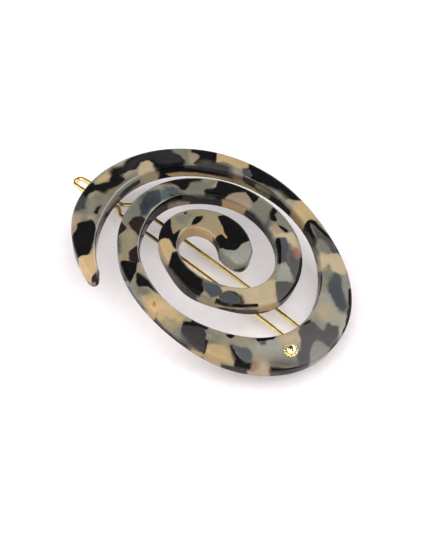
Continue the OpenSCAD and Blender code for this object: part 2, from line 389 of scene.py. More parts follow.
STEEP = 0.75  # how far up or down a wall may face, as a sine


def faces_the_eye():
    """Which points of the band's rings face the camera, after the plate is arched."""
    turn = ring_plan[..., 0] / ARCH_R
    along_x, along_y = (outward[:, None, k] * np.cos(faces_to) for k in (0, 1))
    rise = np.sin(faces_to)
    normals = np.stack([
        along_x * np.cos(turn) + rise * np.sin(turn),
        along_y,
        rise * np.cos(turn) - along_x * np.sin(turn),
    ], -1)
    to_eye = crown_from_px(EYE_PX) - band_crown[:-2].reshape(*out.shape, 3)
    return (normals * to_eye).sum(-1) > 0


shown_wall = with_ends(faces_the_eye() & (np.abs(np.sin(faces_to)) < STEEP), False)

# Tortoiseshell patches

# Two colours that drift into each other inside a tone's patches, as they show, from 0 to 255.
# The material lays the tones over each other in this order.
TONES = {
    "olive": ((122, 120, 106), (108, 108, 94)),
    "tan": ((150, 136, 106), (136, 126, 102)),
    "ash": ((140, 138, 130), (124, 125, 119)),
    "pale": ((164, 160, 147), (146, 146, 135)),
    "honey": ((184, 160, 118), (168, 147, 109)),
    "cream": ((206, 176, 132), (194, 164, 120)),
    "beige": ((188, 170, 138), (172, 156, 126)),
    "amber": ((178, 142, 90), (156, 122, 76)),
    "rosy": ((164, 140, 118), (144, 128, 110)),
    "clay": ((148, 108, 88), (132, 96, 80)),
    "slate": ((76, 78, 84), (68, 72, 75)),
    "steel": ((90, 96, 104), (84, 88, 92)),
    "blue": ((86, 96, 100), (66, 74, 80)),
    "ink": ((62, 68, 74), (44, 52, 56)),
    "murk": ((90, 84, 86), (79, 79, 76)),
    "coal": ((64, 60, 62), (50, 48, 50)),
    "rust": ((44, 30, 26), (34, 25, 23)),
    "dark": ((10, 9, 10), (15, 14, 13)),
    "smoke": ((44, 42, 43), (37, 37, 37)),
}

# Patches of the top face, outlined in the picture: tone, width of its soft edge in mm,
# then the outline as x,y pairs in pixels. Each patch lies over the ones before it.
TOP_PATCHES = [
    # Ground tones of whole stretches
    ("olive", 1.2, 84,216, 92,196, 104,188, 118,180, 138,172, 140,180, 122,190, 108,204, 98,222),
    ("olive", 0.8, 168,149, 180,147, 192,148, 192,160, 188,166, 178,160, 172,154),
    ("tan", 1.0, 116,262, 116,236, 122,222, 134,226, 136,244, 138,262),
    ("olive", 1.0, 118,228, 124,212, 134,198, 146,190, 146,208, 138,222, 128,232),
    ("olive", 1.0, 176,190, 186,180, 204,178, 222,180, 216,196, 204,202, 184,202, 174,198),
    ("olive", 1.0, 248,214, 248,198, 262,198, 280,212, 292,230, 276,234, 262,232),
    ("tan", 1.2, 158,226, 170,216, 190,209, 210,209, 228,214, 224,240, 206,236, 184,238, 166,244),
    # Lighter greys at the lower right end: the shell's tone with a painted reflection of a softbox
    ("pale", 1.2, 254,342, 280,336, 298,329, 302,340, 298,354, 284,357, 266,354, 254,352),
    ("beige", 1.0, 276,336, 288,333, 298,331, 299,340, 292,345, 280,343),
    ("ash", 1.5, 300,336, 300,328, 312,316, 320,300, 330,290, 351,300, 346,336, 322,366, 290,378, 262,372),
    ("olive", 0.8, 130,280, 138,284, 148,288, 154,294, 146,297, 136,292),
    # First turn, from the outer tip
    ("cream", 0.3, 76,257, 88,254, 91,252, 96,244, 98,262, 96,272, 90,277, 84,278, 78,268),
    ("dark", 0.12, 77,223, 81,221, 91,219, 95,224, 95,236, 92,246, 90,250, 88,254, 82,255, 76,256, 70,245,
     69,237, 75,231, 77,227),
    ("olive", 0.4, 74,209, 83,209, 92,211, 94,219, 85,221, 78,222, 70,227, 68,215),
    ("rosy", 0.5, 66,211, 76,211, 80,215, 79,221, 74,227, 66,228),
    ("rosy", 0.3, 88,215, 94,216, 94,220, 88,219),
    ("dark", 0.12, 93,211, 96,206, 101,204, 99,209, 97,214, 94,213),
    ("dark", 0.3, 73,209, 76,197, 85,186, 92,181, 95,184, 104,182, 109,181, 110,176, 109,171, 112,167,
     122,166, 125,160, 138,154, 150,149, 170,148, 172,153, 178,154, 183,158, 186,162, 186,169, 181,171,
     178,174, 163,174, 158,173, 156,168, 153,166, 152,162, 145,161, 140,162, 139,165, 135,169, 128,170,
     122,175, 125,179, 115,187, 109,189, 104,193, 95,190, 89,193, 85,200, 83,208),
    ("ink", 0.6, 74,200, 80,194, 86,196, 86,203, 83,210, 70,211),
    ("honey", 0.25, 94,183, 96,180, 101,174, 108,169, 109,177, 106,180, 100,183),
    ("pale", 0.3, 108,167, 115,162, 122,159, 126,159, 123,165, 115,167),
    ("beige", 0.3, 139,164, 145,160, 150,160, 153,166, 158,174, 160,180, 142,184, 138,172),
    ("smoke", 0.6, 122,170, 126,163, 138,156, 150,150, 168,149, 180,155, 184,161, 170,163, 158,163, 152,159,
     140,160, 134,168),
    ("olive", 0.4, 186,158, 191,159, 191,164, 188,170, 184,163),
    ("rosy", 0.3, 188,152, 193,151, 198,157, 195,161, 191,163, 188,157),
    ("dark", 0.12, 190,148, 197,148, 205,149, 216,150, 216,160, 216,163, 205,164, 193,163, 197,159, 199,156,
     195,153, 190,152),
    ("coal", 0.5, 196,163, 208,161, 217,162, 230,166, 232,172, 214,170, 196,168),
    ("honey", 0.12, 216,149, 224,150, 234,154, 244,158, 252,163, 248,167, 243,169, 238,168, 233,166,
     228,163, 222,161, 216,162),
    ("ash", 0.4, 231,166, 238,167, 243,169, 242,175, 236,174, 231,171),
    ("dark", 0.25, 250,160, 258,165, 268,170, 278,176, 290,184, 298,191, 305,199, 300,201, 290,199, 284,198,
     282,194, 276,190, 270,188, 262,184, 252,180, 245,176, 243,170, 247,168),
    ("slate", 0.5, 242,168, 248,168, 252,174, 248,177, 242,174),
    ("ash", 0.4, 274,191, 279,191, 285,197, 285,202, 279,200),
    ("honey", 0.4, 294,201, 304,199, 314,207, 323,217, 330,228, 332,234, 326,231, 322,225, 316,220, 310,218,
     305,222, 304,231, 298,227, 292,219, 290,211, 292,206),
    ("dark", 0.12, 304,229, 304,224, 306,221, 310,219, 316,221, 320,226, 325,231, 332,236, 340,243, 344,252,
     338,253, 334,246, 328,239, 322,233, 317,228, 313,224, 310,223, 311,227, 313,232, 316,238, 317,243,
     312,241, 308,236),
    ("slate", 0.25, 310,222, 317,228, 322,233, 328,238, 334,245, 337,252, 333,253, 327,246, 321,239,
     316,239, 314,232),
    ("olive", 0.5, 316,240, 321,240, 327,247, 333,253, 326,256, 320,252),
    ("beige", 0.5, 320,252, 328,254, 336,252, 341,256, 347,268, 344,275, 334,271, 326,268, 318,266),
    ("olive", 0.6, 326,262, 330,264, 334,271, 328,276, 324,270),
    # Lighter greys along the right end and its edge: the shell's tone with a painted reflection
    ("ash", 1.0, 341,273, 348,276, 350,296, 346,302, 342,288),
    ("slate", 0.4, 334,271, 338,274, 341,278, 341,286, 344,296, 347,306, 345,312, 339,310, 334,302, 331,296,
     328,291, 327,284, 330,277),
    ("pale", 1.0, 322,292, 328,294, 334,303, 339,312, 348,316, 348,330, 342,338, 336,330, 330,320, 318,310,
     316,302),
    ("beige", 2.0, 318,306, 326,303, 332,308, 334,316, 328,320, 320,318, 316,312),
    ("murk", 0.3, 300,326, 308,319, 314,322, 319,328, 323,330, 326,324, 329,322, 332,325, 338,326, 338,338,
     334,347, 331,348, 325,344, 318,340, 313,342, 309,352, 309,362, 305,368, 296,368, 296,356, 300,350,
     300,340, 298,332),
    ("ash", 0.35, 312,346, 317,342, 324,344, 332,350, 334,352, 324,364, 311,368, 309,354),
    ("murk", 0.6, 270,360, 285,359, 296,361, 296,367, 280,367, 268,366),
    ("beige", 0.6, 251,364, 258,362, 270,362, 271,369, 260,376, 250,376),
    ("clay", 0.5, 250,361, 256,361, 258,366, 252,369),
    ("dark", 0.15, 229,345, 232,344, 235,351, 239,357, 245,361, 251,362, 250,374, 243,374, 236,368,
     232,358),
    ("steel", 0.4, 230,343, 240,346, 248,348, 252,354, 251,361, 245,362, 239,357, 235,351),
    ("honey", 0.5, 206,344, 214,343, 224,345, 230,350, 233,358, 232,367, 220,368, 210,362, 203,358,
     205,350),
    ("coal", 0.2, 182,321, 185,320, 190,322, 196,325, 204,328, 206,333, 205,338, 208,340, 206,344, 204,352,
     198,351, 191,346, 188,341, 183,336, 180,332, 181,326),
    ("dark", 0.1, 182,320, 190,321, 198,325, 195,326, 188,325, 182,325),
    ("rust", 0.1, 204,339, 208,340, 206,345, 205,351, 203,350, 204,344),
    ("honey", 0.6, 142,296, 152,292, 160,294, 168,302, 176,309, 184,316, 182,322, 174,322, 164,320, 152,318,
     145,309, 140,301),
    ("tan", 0.8, 156,314, 166,316, 176,318, 180,326, 172,328, 162,324, 154,320),
    ("cream", 1.5, 146,306, 151,298, 160,299, 168,304, 173,310, 164,312, 152,313),
    ("amber", 0.2, 153,301, 155,301, 155,306, 152,306),
    ("amber", 0.2, 156,311, 158,311, 158,314, 156,314),
    ("amber", 0.2, 157,318, 160,318, 160,320, 157,320),
    ("dark", 0.15, 136,272, 139,272, 143,276, 150,280, 155,287, 160,295, 154,291, 148,286, 138,286,
     136,281),
    ("rosy", 0.4, 137,262, 142,262, 144,270, 140,274, 136,270),
    ("dark", 0.12, 117,260, 128,260, 136,258, 137,264, 135,272, 133,277, 129,282, 122,282, 116,270),
    # Second turn
    ("rust", 0.2, 128,251, 131,248, 137,244, 141,250, 141,260, 136,262, 129,261),
    ("rust", 0.3, 127,222, 134,216, 142,215, 146,220, 143,230, 140,238, 135,231, 131,228),
    ("rust", 0.15, 112,217, 119,219, 126,227, 120,234, 112,236),
    ("blue", 0.6, 115,236, 120,236, 120,252, 115,252),
    ("ink", 0.5, 139,196, 147,191, 158,189, 161,194, 160,203, 152,208, 146,215, 140,215, 138,205),
    ("blue", 1.0, 160,190, 165,186, 172,185, 178,188, 180,194, 175,197, 168,199, 160,200),
    ("dark", 0.3, 150,182, 160,179, 170,177, 180,177, 190,177, 202,178, 200,181, 190,182, 188,187, 184,190,
     180,190, 178,186, 170,183, 158,184),
    ("rosy", 0.3, 212,186, 217,181, 219,184, 215,188),
    ("rust", 0.8, 170,194, 182,193, 190,196, 188,201, 172,200),
    ("dark", 0.12, 219,179, 225,179, 235,182, 243,185, 252,190, 259,196, 256,200, 253,202, 250,199, 247,195,
     245,192, 238,192, 232,193, 228,195, 222,197, 215,196, 207,196, 203,191, 206,188, 212,188, 215,187),
    ("rosy", 0.25, 223,198, 230,193, 238,192, 245,192, 247,196, 250,201, 252,206, 247,208, 240,206,
     230,203),
    ("dark", 0.12, 270,211, 272,207, 276,208, 277,211, 275,215, 276,221, 270,220, 268,216),
    ("blue", 0.4, 264,223, 268,216, 270,219, 270,224, 266,227),
    ("dark", 0.1, 278,224, 282,226, 287,229, 289,232, 285,232, 281,229),
    ("rosy", 0.4, 266,226, 276,224, 282,230, 276,235, 268,236),
    ("beige", 0.5, 270,233, 280,232, 292,232, 298,241, 301,252, 294,249, 289,242, 285,237, 276,237,
     270,238),
    ("slate", 0.2, 277,238, 285,237, 287,242, 289,250, 292,262, 288,267, 285,261, 280,262, 278,250),
    ("murk", 0.25, 288,249, 293,250, 300,256, 304,264, 302,274, 297,284, 293,286, 292,276, 289,267,
     287,258),
    ("clay", 0.3, 292,247, 297,248, 301,255, 301,259, 296,258, 292,253),
    ("pale", 0.5, 281,264, 286,263, 290,271, 291,280, 284,281, 276,282, 277,272),
    ("murk", 0.1, 275,282, 283,281, 293,282, 291,292, 284,299, 278,302, 276,296),
    ("beige", 0.5, 219,287, 232,285, 245,286, 258,284, 270,278, 275,280, 275,292, 277,304, 262,308, 246,310,
     232,309, 214,304, 204,297, 212,296, 219,294),
    ("rust", 0.2, 218,300, 220,294, 226,290, 235,291, 241,295, 245,304, 238,305, 228,302),
    ("slate", 0.12, 220,299, 222,294, 227,291, 233,292, 238,296, 240,302, 236,304, 228,302),
    ("slate", 0.2, 206,281, 212,283, 218,285, 222,291, 220,295, 214,297, 210,296, 203,289, 202,283),
    ("dark", 0.2, 172,251, 180,250, 181,256, 187,266, 196,274, 203,279, 203,291, 198,294, 188,291, 178,284,
     170,273, 168,264),
    ("slate", 0.5, 258,341, 266,340, 266,344, 260,345),
    # Third turn and the bulb
    ("dark", 0.12, 158,226, 162,221, 170,217, 171,226, 173,233, 180,229, 177,236, 177,244, 175,249, 171,243,
     168,238, 160,240, 155,236),
    ("honey", 0.25, 157,240, 165,237, 170,241, 175,248, 178,250, 172,252, 170,257, 168,264, 162,258,
     156,250),
    ("olive", 0.8, 172,216, 190,210, 200,213, 190,220, 186,226, 178,224),
    ("dark", 0.1, 195,216, 203,215, 199,222, 196,224, 191,224),
    ("dark", 0.1, 183,212, 187,211, 185,214),
    ("amber", 0.5, 219,228, 223,230, 227,236, 229,240, 225,240, 220,234),
    ("ash", 0.5, 212,240, 222,246, 232,250, 240,244, 255,240, 256,262, 246,274, 222,274, 214,260),
    ("pale", 2.5, 228,253, 238,251, 246,252, 244,260, 234,263, 226,258),
    ("dark", 0.1, 217,215, 225,214, 234,218, 242,223, 249,230, 254,237, 254,240, 248,240, 243,242, 240,245,
     236,249, 232,250, 226,249, 220,247, 215,242, 213,237, 218,235, 222,234, 225,237, 227,238, 227,236,
     224,232, 222,226, 220,222, 218,219),
    # Dark lines along edges
    ("dark", 0.1, 300,257, 308,256, 309,276, 303,292, 292,302, 280,309, 275,303, 282,298, 288,291, 294,281,
     298,270),
    ("dark", 0.1, 216,297, 222,300, 232,302, 244,303, 258,303, 258,306, 246,307, 232,307, 221,304, 215,300),
    ("dark", 0.1, 276,238, 280,238, 281,248, 281,262, 278,264, 276,252, 275,244),
    ("dark", 0.1, 348,288, 356,286, 357,310, 352,336, 342,334, 346,318, 348,302),
    ("dark", 0.1, 343,334, 352,336, 344,352, 330,358, 328,350, 337,342),
    ("dark", 0.12, 270,366, 285,368, 298,367, 309,364, 313,370, 296,382, 270,382),
    ("dark", 0.1, 255,338, 262,336, 270,335, 277,334, 272,339, 264,341, 258,341),
    ("dark", 0.1, 303,324, 307,320, 312,318, 309,322, 305,325),
    ("dark", 0.1, 225,334, 230,333, 235,335, 231,338, 228,337),
    ("dark", 0.1, 192,319, 198,321, 209,326, 206,329, 198,326, 191,322),
    ("coal", 0.1, 85,279, 89,280, 94,281, 97,276, 98,268, 103,272, 102,284, 92,292, 82,284),
    # Painted highlight: the pale ring on the rounded tip end
    ("ash", 0.1, 85,280, 90,282, 94,282, 97,279, 98,274, 100,279, 97,284, 93,286, 88,285),
    ("rust", 0.1, 87,277, 91,275, 98,271, 98,277, 94,282, 90,281),
]
# Patches of the walls that the picture shows
WALL_PATCHES = [
    # Inner wall of the first turn, from the left over the top to the right
    ("beige", 0.4, 92,262, 94,244, 98,240, 100,250, 98,264),
    # The wall's pale tone, with a painted soft highlight along its top edge
    ("pale", 0.3, 95,245, 97,226, 104,213, 113,203, 125,192, 138,182, 150,176, 146,168, 130,176, 113,188,
     100,205, 92,222),
    ("coal", 0.15, 90,220, 95,222, 97,232, 96,246, 91,248),
    ("dark", 0.35, 94,246, 96,233, 100,222, 105,213, 112,205, 118,199, 124,199, 117,208, 110,218, 105,230,
     102,243, 98,250),
    ("tan", 0.3, 120,200, 130,190, 140,183, 150,178, 152,184, 140,191, 130,198, 122,206),
    ("coal", 0.15, 118,196, 124,189, 132,183, 139,179, 140,182, 133,187, 126,193, 121,198),
    ("beige", 0.4, 140,174, 152,169, 159,172, 158,184, 144,186),
    ("dark", 0.3, 156,163, 172,162, 187,164, 188,171, 176,174, 160,175),
    ("coal", 0.3, 184,163, 205,165, 230,169, 231,178, 215,175, 200,172, 186,170),
    ("dark", 0.15, 160,169, 180,167, 195,168, 212,171, 231,175, 231,177, 212,174, 195,172, 180,172,
     160,173),
    ("honey", 0.2, 164,173, 180,171, 200,172, 220,176, 240,180, 255,188, 262,196, 240,190, 220,183, 200,179,
     176,179),
    ("clay", 0.4, 230,173, 241,175, 242,179, 230,178),
    ("coal", 0.2, 243,174, 256,180, 272,190, 276,196, 264,193, 250,184, 242,180),
    ("tan", 0.25, 255,183, 264,187, 274,195, 272,198, 262,192, 254,187),
    ("dark", 0.2, 270,194, 280,200, 290,211, 293,218, 284,215, 276,208, 268,200),
    ("amber", 0.4, 290,211, 298,220, 304,231, 302,236, 294,226, 288,218),
    ("coal", 0.3, 303,229, 311,240, 317,252, 318,264, 313,258, 308,246, 300,234),
    ("ash", 0.2, 312,246, 318,252, 321,264, 318,264, 312,252),
    ("beige", 0.3, 316,256, 324,252, 326,262, 325,272, 316,272),
    ("coal", 0.3, 316,272, 326,272, 326,290, 321,302, 314,312, 312,308, 318,296),
    ("dark", 0.25, 319,276, 324,276, 325,288, 320,290),
    # Inner wall of the second turn
    ("coal", 0.3, 136,262, 138,240, 144,221, 152,209, 164,200, 182,194, 205,196, 221,200, 221,209, 190,207,
     168,212, 152,226, 146,244, 146,262),
    ("dark", 0.15, 134,262, 135,245, 139,228, 147,212, 160,201, 174,194, 182,193, 182,199, 170,201, 158,208,
     149,218, 143,230, 140,245, 140,262),
    ("rosy", 0.3, 168,202, 178,200, 190,201, 190,209, 176,210, 166,212),
    ("cream", 0.25, 221,198, 235,203, 246,208, 250,214, 246,219, 236,213, 221,209),
    ("coal", 0.25, 246,209, 254,214, 262,224, 268,234, 268,242, 258,232, 250,222, 243,214),
    ("slate", 0.4, 264,228, 270,232, 276,246, 279,264, 274,264, 270,248),
    # Inner wall of the third turn
    ("dark", 0.15, 174,262, 173,250, 174,240, 178,231, 181,229, 179,238, 178,248, 178,262),
    ("cream", 0.4, 178,240, 182,232, 188,227, 200,224, 210,227, 216,235, 212,241, 196,239, 184,246,
     178,252),
    ("coal", 0.12, 212,236, 214,240, 221,262, 219,262, 213,248),
    # Outer wall below, from the tip round to the right
    # The tip's end wall: its grey, with a painted highlight along its rim
    ("ash", 0.15, 84,279, 90,282, 96,281, 99,276, 102,282, 98,288, 86,288),
    ("coal", 0.1, 84,283, 88,285, 94,286, 98,283, 99,278, 104,280, 102,286, 93,292, 84,290),
    ("ash", 0.3, 116,282, 128,280, 136,294, 146,308, 143,313, 133,302, 122,288),
    ("murk", 0.3, 124,284, 129,286, 136,298, 143,306, 149,312, 145,317, 135,309, 126,298),
    ("coal", 0.12, 126,290, 130,293, 136,301, 142,307, 148,313, 145,317, 135,309, 126,298),
    ("honey", 0.3, 143,308, 152,312, 158,320, 155,324, 146,316),
    ("slate", 0.15, 155,317, 165,328, 178,338, 191,345, 189,351, 175,343, 162,333, 152,323),
    ("dark", 0.08, 154,319, 165,330, 178,340, 190,346, 190,349, 177,342, 164,333, 153,322),
    ("honey", 0.4, 189,346, 204,353, 216,360, 224,364, 222,368, 205,361, 188,352),
    ("coal", 0.2, 221,363, 232,366, 247,370, 246,376, 232,373, 220,368),
    ("beige", 0.4, 246,369, 258,371, 270,371, 271,380, 246,379),
    ("dark", 0.15, 270,366, 285,367, 300,365, 309,363, 306,371, 294,374, 274,375, 270,372),
    ("coal", 0.3, 270,373, 290,374, 306,370, 322,363, 334,352, 336,356, 318,372, 290,382, 270,380),
    # Outer wall of the second turn below
    # Grey of the wall, with a painted highlight line along it
    ("ash", 0.3, 156,256, 162,258, 172,274, 182,284, 180,292, 168,284, 160,272),
    ("slate", 0.4, 166,264, 171,269, 178,280, 188,289, 184,293, 172,283, 164,272),
    ("slate", 0.3, 172,280, 182,286, 197,295, 196,302, 182,296, 170,286),
    ("beige", 0.4, 196,294, 208,300, 219,304, 219,311, 206,306, 195,300),
    ("murk", 0.3, 216,308, 240,310, 258,309, 270,308, 268,316, 245,318, 218,314),
    ("beige", 0.15, 216,303, 226,306, 240,307, 258,306, 272,303, 280,301, 282,306, 270,310, 256,310,
     240,310, 226,308, 214,306),
    ("cream", 0.4, 258,305, 272,303, 280,301, 282,306, 272,312, 258,313),
    ("coal", 0.15, 216,308, 226,311, 240,312, 258,312, 268,310, 272,315, 256,319, 236,318, 216,313),
    ("dark", 0.15, 279,301, 290,294, 298,283, 301,266, 306,274, 303,290, 292,302, 281,308),
    # Outer wall of the bulb
    ("ash", 0.3, 212,240, 218,256, 222,264, 232,269, 244,267, 253,252, 258,262, 250,276, 236,279, 218,275),
    ("coal", 0.12, 216,257, 222,264, 228,268, 236,269, 244,266, 249,259, 252,248, 258,250, 256,268, 240,279,
     222,275, 212,262),
]

OUTLINE_STEPS, OUTLINE_PULL = 4, 0.2  # points from corner to corner, and how round a corner is
FAR = -20.0  # depth outside every patch, in soft-edge widths
OVERLAP = 0.5  # soft-edge widths that a tone reaches into the patches laid over it
RIM_REACH = 2.0  # soft-edge widths round a dark patch that its brown rim may show in
REACH = 3.0  # mm round a patch in which it matters
WAVER, WAVER_L = 0.25, 1.7  # how far the patches' outlines waver, and over what length, mm
WAVER_SEED = 5  # without it, each run would waver in another way
TINY = 1e-12


def smooth_outline(points):
    """A closed outline through the points, with its corners rounded a little."""
    p = np.asarray(points, float)
    before, after, second = np.roll(p, 1, 0), np.roll(p, -1, 0), np.roll(p, -2, 0)
    bend_in, bend_out = OUTLINE_PULL * (after - before) / 2, OUTLINE_PULL * (second - p) / 2
    made = []
    for f in np.arange(OUTLINE_STEPS) / OUTLINE_STEPS:
        made.append(
            (2 * f**3 - 3 * f**2 + 1) * p
            + (f**3 - 2 * f**2 + f) * bend_in
            + (3 * f**2 - 2 * f**3) * after
            + (f**3 - f**2) * bend_out
        )
    return np.stack(made, 1).reshape(-1, 2)


def inside_distance(points, outline):
    """Signed distance of points from an outline, positive inside it."""
    a, b = outline, np.roll(outline, -1, 0)
    ab = b - a
    ap = points[:, None, :] - a
    t = np.clip((ap * ab).sum(-1) / np.maximum((ab * ab).sum(-1), TINY), 0, 1)
    gap = np.sqrt(((ap - t[..., None] * ab) ** 2).sum(-1)).min(1)
    y = points[:, 1:]
    crosses = (a[:, 1] > y) != (b[:, 1] > y)
    rise = np.where(ab[:, 1] == 0, TINY, ab[:, 1])
    hit = points[:, :1] < a[:, 0] + (y - a[:, 1]) * ab[:, 0] / rise
    return np.where((crosses & hit).sum(1) % 2 == 1, gap, -gap)


def lay_patches(depths, points, patches, place, among):
    """Updates how deep every point lies inside each tone's patches, in soft-edge widths."""
    for tone, soft, *outline in patches:
        shape = smooth_outline(place(np.reshape(outline, (-1, 2))))
        near = ((points > shape.min(0) - REACH) & (points < shape.max(0) + REACH)).all(1)
        idx = np.nonzero(near & among)[0]
        if not len(idx):
            continue
        d = inside_distance(points[idx], shape) / soft
        depths[tone][idx] = np.maximum(depths[tone][idx], d)
        if tone == "smoke":  # a haze over the dark patches, which stay under it
            continue
        for other in TONES:
            if other != tone:
                depths[other][idx] = np.minimum(depths[other][idx], OVERLAP - d)
        # Where the brown rim of the dark patches isn't covered
        rim = depths["rim"][idx]
        if tone == "dark":
            depths["rim"][idx] = np.maximum(rim, d + RIM_REACH)
        else:
            depths["rim"][idx] = np.minimum(rim, OVERLAP - d)


noise.seed_set(WAVER_SEED)
waver = WAVER * np.array([noise.noise_vector((x / WAVER_L, y / WAVER_L, 0.0))[:2] for x, y in plan])
depths = {layer: np.full(len(plan), FAR) for layer in (*TONES, "rim")}
lay_patches(depths, plan + waver, TOP_PATCHES, on_top, np.full(len(plan), True))
lay_patches(depths, on_picture(to_image(band_crown)), WALL_PATCHES, on_picture, shown_wall)

# Materials

LIT = 0.8  # colour of a surface in this light, as a part of the colour that it shows


def srgb(r, g, b):
    """Linear colour with alpha, for a surface that shows these values from 0 to 255."""
    linear = [
        c / 12.92 if c <= 0.04045 else ((c + 0.055) / 1.055) ** 2.4
        for c in (v / 255 for v in (r, g, b))
    ]
    return (*(c * LIT for c in linear), 1.0)


class Nodes:
    """Short names for building a material's node tree."""

    MIX_A, MIX_B, MIX_RESULT = 6, 7, 2  # the Mix node's sockets for colours

    def __init__(self, name):
        self.material = bpy.data.materials.new(name)
        self.material.use_nodes = True
        self.tree = self.material.node_tree
        self.shader = self.tree.nodes["Principled BSDF"]

    def add(self, kind, **settings):
        node = self.tree.nodes.new("ShaderNode" + kind)
        for key, value in settings.items():
            setattr(node, key, value)
        return node

    def feed(self, node, key, value):
        if isinstance(value, bpy.types.NodeSocket):
            self.tree.links.new(value, node.inputs[key])
        else:
            node.inputs[key].default_value = value

    def set(self, node, **values):
        """Feeds a node's inputs by name, with an underscore for each space."""
        for key, value in values.items():
            self.feed(node, key.replace("_", " "), value)
        return node

    def place(self):
        return self.add("TexCoord").outputs["Object"]

    def stretched(self, *scale):
        return self.set(self.add("Mapping"), Vector=self.place(), Scale=scale).outputs[0]

    def noise(self, scale, detail, rough, at=None, warp=0.0):
        """Noise with a scale in waves for each metre."""
        node = self.set(self.add("TexNoise"), Scale=scale, Detail=detail, Roughness=rough)
        self.set(node, Vector=self.place() if at is None else at, Distortion=warp)
        return node.outputs[0]

    def math(self, operation, a, b):
        node = self.add("Math", operation=operation)
        self.feed(node, 0, a)
        self.feed(node, 1, b)
        return node.outputs[0]

    def between(self, value, low, high, to_low=0.0, to_high=1.0):
        """Goes smoothly from to_low to to_high while the value goes from low to high."""
        node = self.add("MapRange", interpolation_type="SMOOTHSTEP")
        self.set(node, Value=value, From_Min=low, From_Max=high, To_Min=to_low, To_Max=to_high)
        return node.outputs[0]

    def mix(self, factor, a, b):
        node = self.add("Mix", data_type="RGBA")
        self.feed(node, 0, factor)
        self.feed(node, self.MIX_A, a)
        self.feed(node, self.MIX_B, b)
        return node.outputs[self.MIX_RESULT]

    def attribute(self, name):
        return self.add("Attribute", attribute_name=name).outputs["Fac"]

    def bump(self, height, strength, distance):
        node = self.set(self.add("Bump"), Height=height, Strength=strength, Distance=distance)
        self.feed(self.shader, "Normal", node.outputs[0])


RAGGED = 1.6  # soft-edge widths over which the patches' edges are ragged


def tortoiseshell():
    """A drifting, streaky ground, the patches over it, painted shade on the walls, and a clear polish."""
    n = Nodes("tortoiseshell")
    cloud = n.noise(95.0, 3.0, 0.5)
    streak = n.noise(60.0, 4.0, 0.55, n.stretched(1.0, 2.2, 1.6), 0.4)
    grain = n.noise(900.0, 2.0, 0.5)
    ragged = n.math("MULTIPLY", n.math("SUBTRACT", n.noise(1100.0, 2.0, 0.6), 0.5), RAGGED)
    melt = n.between(n.noise(170.0, 1.0, 0.5), 0.4, 0.66, 1.0, 0.28)
    glow = n.between(n.noise(300.0, 2.0, 0.5), 0.45, 0.65, 0.0, 0.55)
    colour = n.mix(n.between(cloud, 0.38, 0.62), srgb(112, 114, 104), srgb(150, 140, 118))
    colour = n.mix(n.between(streak, 0.5, 0.66, 0.0, 0.6), colour, srgb(166, 156, 136))
    colour = n.mix(n.between(streak, 0.3, 0.46, 0.65, 0.0), colour, srgb(88, 88, 78))
    for tone, (one, other) in TONES.items():
        crisp = n.math("ADD", n.attribute(tone), ragged)
        if tone == "dark":
            rim = n.math("MULTIPLY", n.between(crisp, -1.6, -0.8), glow)
            rim = n.math("MULTIPLY", rim, n.between(n.attribute("rim"), 0.0, 1.0))
            colour = n.mix(rim, colour, srgb(132, 96, 54))
        own = n.mix(n.between(cloud, 0.35, 0.65), srgb(*one), srgb(*other))
        colour = n.mix(n.between(n.math("MULTIPLY", crisp, melt), -1.0, 1.0), colour, own)
    colour = n.mix(n.between(grain, 0.3, 0.7, 0.0, 0.06), colour, srgb(60, 56, 50))
    side = n.attribute("side")
    edge_gloss = n.between(n.attribute("inner_edge"), 0.1, 0.9, 0.0, 0.7)
    n.set(
        n.shader,
        # Painted shade: the walls are darkened towards near black, as they get less light than the top
        Base_Color=n.mix(n.between(side, 0.5, 1.0, 0.0, 0.08), colour, srgb(20, 19, 18)),
        Roughness=n.between(grain, 0.2, 0.8, 0.1, 0.17),
        IOR=1.47,
        Specular_IOR_Level=n.math("ADD", n.between(side, 0.0, 0.1, 0.45, 0.06), edge_gloss),
    )
    n.bump(n.noise(260.0, 2.0, 0.5), 0.12, 0.0001)
    return n.material


# Where the painted shade under the plate sets in and where it fades, as x in metres, and its colour
SHADE_FROM, SHADE_TO = (-0.031, -0.027), (-0.012, 0.001)
UNDER_PLATE_SHADE = (0.09, 0.065, 0.03, 1.0)
SHEEN = 0.05  # how much rougher or smoother the drawn metal is in its streaks


def gold(name, deep, bright, roughness, shade_depth=0.0):
    """Plated metal. The last argument is how dark its painted shade under the plate gets."""
    n = Nodes(name)
    mottled = n.noise(700.0, 3.0, 0.6)
    drawn = n.noise(500.0, 3.0, 0.6, n.stretched(0.25, 4.0, 4.0))
    colour = n.mix(n.between(mottled, 0.3, 0.7), deep, bright)
    if shade_depth:
        # Painted shade: darker along x where the wire runs under the plate's turns
        x = n.set(n.add("SeparateXYZ"), Vector=n.place()).outputs["X"]
        shade_fading = n.between(x, *SHADE_TO, shade_depth, 0.0)
        colour = n.mix(n.math("MULTIPLY", n.between(x, *SHADE_FROM), shade_fading), colour, UNDER_PLATE_SHADE)
    n.set(
        n.shader,
        Base_Color=colour,
        Metallic=1.0,
        Roughness=n.between(drawn, 0.25, 0.75, roughness - SHEEN, roughness + SHEEN),
    )
    n.bump(drawn, 0.15, 0.00004)
    return n.material


# The table and its far edge are lit softly from behind, from one distance to the other, in metres
FLOOR_GLOW, BACKDROP_GLOW = 0.1, 0.7
GLOW_FROM, GLOW_TO = 0.3, 1.2


